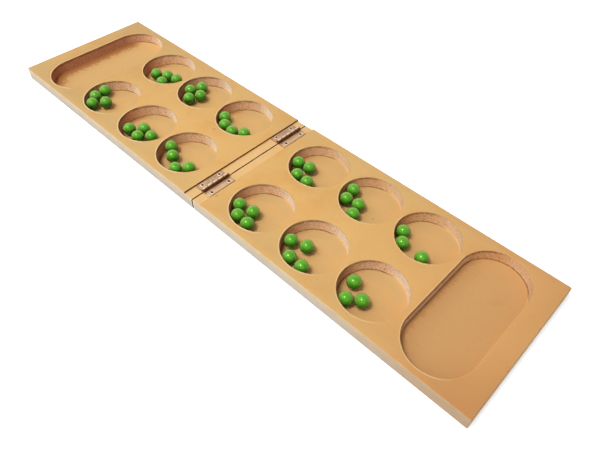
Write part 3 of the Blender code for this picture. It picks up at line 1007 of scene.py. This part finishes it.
def screw_metal():
    """Bright screws, duller in patches."""
    made = Finish("bright_screw", SCREW_BRIGHT, roughness=0.30, metallic=1.0)
    patches = made.noise(0.7 * MM, detail=3)
    made.over(SCREW_DULL, (patches, 0.35, 0.7))
    made.set("Roughness", made.spread(patches, 0.3, 0.7, 0.38, 0.24))
    made.bump(patches, 0.01 * MM, 0.5)
    return made.finished()


def recess_shade_finish():
    """Painted shade in a screw's cross recess and over the middle of its head."""
    made = Finish("screw_recess_shade", RECESS_SHADE_DARK, roughness=0.8, specular=0.2)
    grains = made.noise(0.3 * MM, detail=3)
    made.over(RECESS_SHADE_LIGHT, (grains, 0.35, 0.7))
    made.bump(grains, 0.02 * MM, 0.6)
    return made.finished()


hinge_finish = hinge_metal()
screw_finish = screw_metal()
recess_shade_material = recess_shade_finish()
print("metals:", hinge_finish.name, screw_finish.name, recess_shade_material.name)

# %% [markdown]
# A butt hinge's leaf is one sheet. It is cut to its outline first, with a tongue for each
# knuckle, and each tongue is then rolled round the pin. This is done here in the same order:
# a thin block is cut into bands where the knuckles begin and end, the tongues' end faces are
# extruded to a place under the pin, and spun round its axis. The screw holes are
# countersunk afterwards, and a fine bevel takes the sharpness off the sheet's edges.

# %% Model a hinge leaf
CUTBACK_X = KNUCKLE_RADIUS + 0.3 * MM
CURL = radians(285)
CURL_STEPS = 36
SINK_SIDES = 48
SINK_RINGS = [(0.55 * MM, LEAF_BOTTOM - 0.5 * MM), (2.4 * MM, LEAF_TOP + 0.5 * MM)]


def knuckle_spans(side, row):
    """Where one leaf's knuckles begin and end along the seam."""
    start = HINGE_Y[row] - HINGE_LENGTH / 2
    own = range(0 if side == "left" else 1, KNUCKLES, 2)
    ends = [(start + k * KNUCKLE_PITCH, start + (k + 1) * KNUCKLE_PITCH) for k in own]
    return [(low, high - KNUCKLE_GAP) for low, high in ends]


def model_sheet(side, row):
    """The flat sheet of a leaf, cut into bands along the seam."""
    width, middle = LEAF_WIDTH - CUTBACK_X, HINGE_Y[row]
    centre = (SIDES[side] * (CUTBACK_X + width / 2), middle, (LEAF_BOTTOM + LEAF_TOP) / 2)
    sheet = add_block(f"{row}_{side}_hinge_leaf_dressed", centre, (width, HINGE_LENGTH, SHEET))
    for y in (end for span in knuckle_spans(side, row) for end in span):
        if abs(y - middle) < HINGE_LENGTH / 2 - CLOSE:
            with editing(sheet):
                bpy.ops.mesh.bisect(plane_co=(0, y, 0), plane_no=(0, 1, 0))
    return sheet


def roll_knuckles(sheet, side, row):
    """Extrudes the tongues under the pin and rolls them round it."""
    sign = SIDES[side]
    spans = knuckle_spans(side, row)

    def is_tongue(centre, normal):
        on_cut = abs(abs(centre.x) - CUTBACK_X) < CLOSE and abs(normal.x) > 0.9
        return on_cut and any(low < centre.y < high for low, high in spans)

    with editing(sheet, is_tongue, "FACE"):
        extrude((-sign * CUTBACK_X, 0, 0))
        axis_place = (0, HINGE_Y[row], AXIS_Z)
        bpy.ops.mesh.spin(steps=CURL_STEPS, angle=-sign * CURL, center=axis_place, axis=(0, 1, 0))
    outward(sheet)


def model_leaf(side, row):
    """One leaf with its rolled knuckles and countersunk holes."""
    leaf = model_sheet(side, row)
    roll_knuckles(leaf, side, row)
    places = screw_places(side, row)
    tools = [turned("countersink", centre, SINK_RINGS, SINK_SIDES) for centre in places]
    cut_with(leaf, joined(tools, "countersinks"))
    apply_modifier(
        leaf, "BEVEL", width=0.1 * MM, segments=2, limit_method="ANGLE", angle_limit=radians(40)
    )
    outward(leaf)
    give(leaf, hinge_finish)
    smooth(leaf, 35)
    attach(leaf, f"{side}_half")
    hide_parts(f"{row}_{side}_hinge_leaf")
    return leaf


leaves = [model_leaf(side, row) for row in ROWS for side in SIDES]
for leaf in leaves:
    top = max(v.co.z for v in leaf.data.vertices)
    print(leaf.name, len(leaf.data.polygons), "faces, top at", round(top / MM, 2), "mm")

# %% [markdown]
# The pin is a rod with slightly dished ends, pressed into the left leaf's knuckles. It is
# turned standing up, then laid along the seam.

# %% Model the hinge pins
PIN_RADIUS = 0.8 * MM
PIN_PROUD = 0.3 * MM
PIN_DISH = 0.35 * MM
PIN_SIDES = 32


def model_pin(row):
    """One pin, which rides with the left half."""
    end = HINGE_LENGTH / 2 + PIN_PROUD
    dish = [(PIN_RADIUS * sin(a), -end + PIN_DISH * (1 - sin(a))) for a in (0.35, 0.8, 1.2)]
    half = [*dish, (PIN_RADIUS, -end + PIN_DISH)]
    rings = half + [(radius, -height) for radius, height in reversed(half)]
    pin = turned(f"{row}_hinge_pin", (0, 0), rings, PIN_SIDES)
    pin.rotation_euler.x = radians(-90)
    pin.location = (0, HINGE_Y[row], AXIS_Z)
    apply_place(pin)
    give(pin, hinge_finish)
    smooth(pin, 50)
    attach(pin, "left_half")
    return pin


pins = [model_pin(row) for row in ROWS]
print("pins:", [(p.name, round(p.dimensions.y / MM, 1)) for p in pins])

# %% [markdown]
# The screws are countersunk, with a cross recess. The body is turned, from the point up to a
# slightly domed head. The recess is cut with a cross: a small block whose four sides are
# extruded outwards, and whose lower end is drawn in, as a driver's tip is.

# %% Model one screw and copy it
HEAD_RADIUS = 1.75 * MM
SHANK_RADIUS = 0.8 * MM
SCREW_TIP = 2.5 * MM
SCREW_SIDES = 40
DRIVE_WIDTH = 0.42 * MM
DRIVE_ARM = 0.55 * MM
DRIVE_HEIGHT = 1.3 * MM
SCREW_TURNS = (0.35, 1.05, 0.8, 0.15, 0.6, 1.3, 0.05, 0.9)


def driver_tip():
    """The cross that cuts a screw's recess."""
    size = (DRIVE_WIDTH, DRIVE_WIDTH, DRIVE_HEIGHT)
    cross = add_block("driver_tip", (0, 0, LEAF_TOP), size)
    for direction in ((1, 0), (-1, 0), (0, 1), (0, -1)):
        way = Vector((*direction, 0))

        def on_this_side(centre, normal):
            return normal.dot(way) > 0.9 and abs(centre.cross(way).z) < 0.2 * DRIVE_WIDTH

        with editing(cross, on_this_side, "FACE"):
            extrude(way * DRIVE_ARM)
    with editing(cross, lambda place: place.z < LEAF_TOP):
        bpy.ops.transform.resize(value=(0.45, 0.45, 1), center_override=(0, 0, LEAF_TOP))
    outward(cross)
    return cross


def model_screw():
    """One screw, standing at the origin of the plane, with its head at the leaf's top."""
    rings = [
        (0.12 * MM, SCREW_TIP),
        (0.70 * MM, SCREW_TIP + 1.5 * MM),
        (SHANK_RADIUS, SCREW_TIP + 1.9 * MM),
        (SHANK_RADIUS, LEAF_TOP - (HEAD_RADIUS - SHANK_RADIUS)),
        (HEAD_RADIUS - 0.06 * MM, LEAF_TOP - 0.06 * MM),
        (HEAD_RADIUS, LEAF_TOP),
        (HEAD_RADIUS - 0.10 * MM, LEAF_TOP + 0.05 * MM),
        (1.10 * MM, LEAF_TOP + 0.11 * MM),
        (0.66 * MM, LEAF_TOP + 0.13 * MM),
    ]
    screw = turned("screw_model", (0, 0), rings, SCREW_SIDES)
    cut_with(screw, driver_tip())
    smooth(screw, 35)
    give(screw, screw_finish, recess_shade_material)
    # Painted shade: the recess and the middle of the head take the dark finish.
    for polygon in screw.data.polygons:
        sunk = LEAF_TOP - 0.6 * MM < polygon.center.z < LEAF_TOP + 0.09 * MM
        shade_reach = (0.68 if sunk else 0.60) * HEAD_RADIUS
        polygon.material_index = 1 if polygon.center.xy.length < shade_reach else 0
    return screw


screw_model = model_screw()
turns = iter(SCREW_TURNS)
for row in ROWS:
    for side in SIDES:
        for number, place in enumerate(screw_places(side, row), start=1):
            screw = copy_of(screw_model, f"{row}_{side}_screw_{number}_dressed")
            screw.rotation_euler.z = next(turns)
            screw.location = (*place, 0)
            apply_place(screw)
            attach(screw, f"{side}_half")
            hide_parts(f"{row}_{side}_leaf_screw_{number}")
bpy.data.objects.remove(screw_model, do_unlink=True)
print("screws:", len(SCREW_TURNS))

# %% [markdown]
# The seeds are moulded plastic balls, glossy and green, and their reflections are green too.
# Their upper edge has a painted pale sheen where they are seen at a grazing angle, and their
# sides and underside are painted a deep green shade. A real one isn't a perfect sphere: it has
# a faint parting line round it and a small flat gate mark where the plastic went in. Each seed
# rests on its gate mark, more or less.

# %% The seeds' plastic
SEED_GREEN = (0.100, 0.400, 0.012)
SEED_DEEP = (0.075, 0.335, 0.008)
SEED_SHADE = (0.010, 0.095, 0.004)
SEED_SHEEN = (0.400, 0.570, 0.140)
SEED_SHINE = (0.62, 1.0, 0.40)


def seed_plastic():
    """Glossy green plastic with faint flow clouds, painted shade below and a painted sheen on the
    upper edge.
    """
    made = Finish("green_seed_plastic", SEED_GREEN, roughness=0.2, specular=0.62)
    made.set("Specular Tint", SEED_SHINE)
    flow = made.noise(4 * MM, detail=3, distortion=1.2)
    made.over(SEED_DEEP, (flow, 0.35, 0.70))
    # Painted shade: a deeper green on the sides and underside.
    made.over(SEED_SHADE, (made.facing_up(), -0.25, 0.95, 0.0, 0.95))
    # Painted sheen: pale at the upper edge, where the seed is seen at a grazing angle.
    grazing = made.node("LayerWeight", blend=0.5).outputs["Facing"]
    grazed = (grazing, 0.15, 0.62, 0.60)
    made.over(SEED_SHEEN, grazed, (made.facing_up(), 0.05, 0.45))
    made.set("Roughness", made.spread(made.noise(1.5 * MM, detail=3), 0.35, 0.7, 0.22, 0.18))
    made.bump(made.noise(2.2 * MM, detail=2), 0.002 * MM, 0.5)
    return made.finished()


seed_finish = seed_plastic()
print("seeds' finish:", seed_finish.name)

# %% Model one seed and copy it
LINE_WIDTH = 0.10 * MM
BODY_SHARE = 0.9985
GATE_DEPTH = 0.05 * MM


def model_seed(radius):
    """A ball with a raised parting line and a gate mark at one pole."""
    deselect_all()
    bpy.ops.mesh.primitive_uv_sphere_add(segments=48, ring_count=24, radius=radius)
    seed = bpy.context.object
    seed.name = seed.data.name = "seed_model"
    with editing(seed, lambda place: abs(place.z) < 0.01 * radius):
        bpy.ops.mesh.bevel(offset=LINE_WIDTH, segments=2, affect="EDGES")
    with editing(seed, lambda place: abs(place.z) > 0.005 * radius):
        bpy.ops.transform.resize(value=(BODY_SHARE,) * 3, center_override=(0, 0, 0))
    with editing(seed, lambda place: place.z > 0.985 * radius):
        bpy.ops.transform.translate(value=(0, 0, -GATE_DEPTH))
    give(seed, seed_finish)
    smooth(seed, 60)
    return seed


def seed_turn(index):
    """A turn of its own for each seed, with the gate mark not far from straight down."""
    return Euler((pi + 0.5 * sin(1.7 * index), 0.4 * sin(2.9 * index), 2.3 * index))


first_low, first_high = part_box("left_near_pit_1_seed_1")
seed_model = model_seed((first_high.z - first_low.z) / 2)
seed_names = sorted(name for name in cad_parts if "_seed_" in name)
for index, name in enumerate(seed_names):
    low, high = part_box(name)
    seed = copy_of(seed_model, f"{name}_dressed")
    seed.rotation_euler = seed_turn(index)
    seed.location = (low + high) / 2
    apply_place(seed)
    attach(seed, name)
    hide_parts(name)
bpy.data.objects.remove(seed_model, do_unlink=True)
print("seeds:", len(seed_names))

# %% [markdown]
# The camera stands where the photograph was taken from: close, above the right store's near
# corner, looking down along the board. Its place came from matching some sixty points of
# the board. The small shift is there because the photograph is a crop.

# %% The camera
CAMERA_PLACE = Vector((0.2521, -0.2168, 0.3074))
CAMERA_RIGHT = Vector((0.7265, 0.6868, 0.0240)).normalized()
CAMERA_FORWARD = Vector((-0.4354, 0.4871, -0.7571)).normalized()
CAMERA_SHIFT = (-0.0061, 0.0092)
LENS_MM = 32.5

camera_data = bpy.data.cameras.new("camera")
camera = bpy.data.objects.new("camera", camera_data)
bpy.context.scene.collection.objects.link(camera)
camera_up = CAMERA_RIGHT.cross(CAMERA_FORWARD)
turn = Matrix((CAMERA_RIGHT, camera_up, -CAMERA_FORWARD)).transposed().to_4x4()
camera.matrix_world = Matrix.Translation(CAMERA_PLACE) @ turn
camera_data.lens = LENS_MM
camera_data.shift_x, camera_data.shift_y = CAMERA_SHIFT
camera_data.clip_start = 0.01
bpy.context.scene.camera = camera
print("camera at", [round(v, 3) for v in camera.location], "lens", LENS_MM, "mm")

# %% [markdown]
# The photograph has a plain white ground. The floor is pale paper that takes the board's
# shadow, with a light of its own that only the camera and reflections see, so that it reads
# as white without adding light to the board. The lamps reach less far than the paper does,
# so this glow grows away from the board. The world does the same, with a faint even light.

# %% The floor and the world
PAPER_WHITE = (0.80, 0.80, 0.80)
LAMP_WHITE = (1, 1, 1)
WORLD_LIGHT = 0.19
UNDER_BOARD = 0.2 * MM

deselect_all()
bpy.ops.mesh.primitive_plane_add(size=6)
floor = bpy.context.object
floor.name = "floor"
floor.location.z = -UNDER_BOARD
paper = Finish("white_paper", PAPER_WHITE, roughness=0.9, specular=0.1)
paper.set("Emission Color", LAMP_WHITE)
from_board = paper.hypotenuse(paper.axis("X"), paper.axis("Y"))
needed = paper.spread(from_board, 0.4, 2.2, 1.0, 0.55)
paper.set("Emission Strength", paper.times(paper.seen_directly(), needed))
give(floor, paper.finished())
floor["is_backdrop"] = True

world = bpy.data.worlds.new("studio")
world.use_nodes = True
bpy.context.scene.world = world
sky = NodeTree(world.node_tree)
background = sky.tree.nodes["Background"]
strength = sky.spread(sky.seen_directly(), 0.0, 1.0, 1.0, WORLD_LIGHT)
sky.link(strength, background.inputs["Strength"])
sky.link(LAMP_WHITE, background.inputs["Color"])
print("floor and world ready")

# %% [markdown]
# Three soft lamps light the board. The key is a very large panel to the left and near, which
# leaves the left walls of the pits in shade and brightens the right ones. A smaller panel
# hangs over the board and puts the highlight on each seed, and a weak one from the right
# keeps the shade from going black. All stand far off, so the light is even along the board.

# %% The lamps
def add_panel(name, azimuth, elevation, distance, size, power):
    """A square soft lamp in this direction from the board's middle, aimed at it."""
    data = bpy.data.lights.new(name, "AREA")
    data.shape = "SQUARE"
    data.size = size
    data.energy = power
    lamp = bpy.data.objects.new(name, data)
    bpy.context.scene.collection.objects.link(lamp)
    a, e = radians(azimuth), radians(elevation)
    place = Vector((cos(e) * cos(a), cos(e) * sin(a), sin(e))) * distance
    lamp.location = place
    lamp.rotation_euler = (-place).to_track_quat("-Z", "Y").to_euler()
    return lamp


lamps = [
    add_panel("key_panel", 222, 52, distance=2.4, size=2.4, power=22.6),
    add_panel("overhead_panel", 265, 67, distance=1.6, size=0.50, power=14.8),
    add_panel("fill_panel", 318, 42, distance=2.2, size=1.6, power=5.5),
]
print("lamps:", [(lamp.name, lamp.data.energy) for lamp in lamps])

# %% [markdown]
# Last, the view is set to show colours as they are written, and the size of the dressed
# board is written down, to set beside the measured one.

# %% Finish
bpy.context.scene.view_settings.view_transform = "Standard"
low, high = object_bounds()
print("dressed box in mm:", in_mm(high - low))
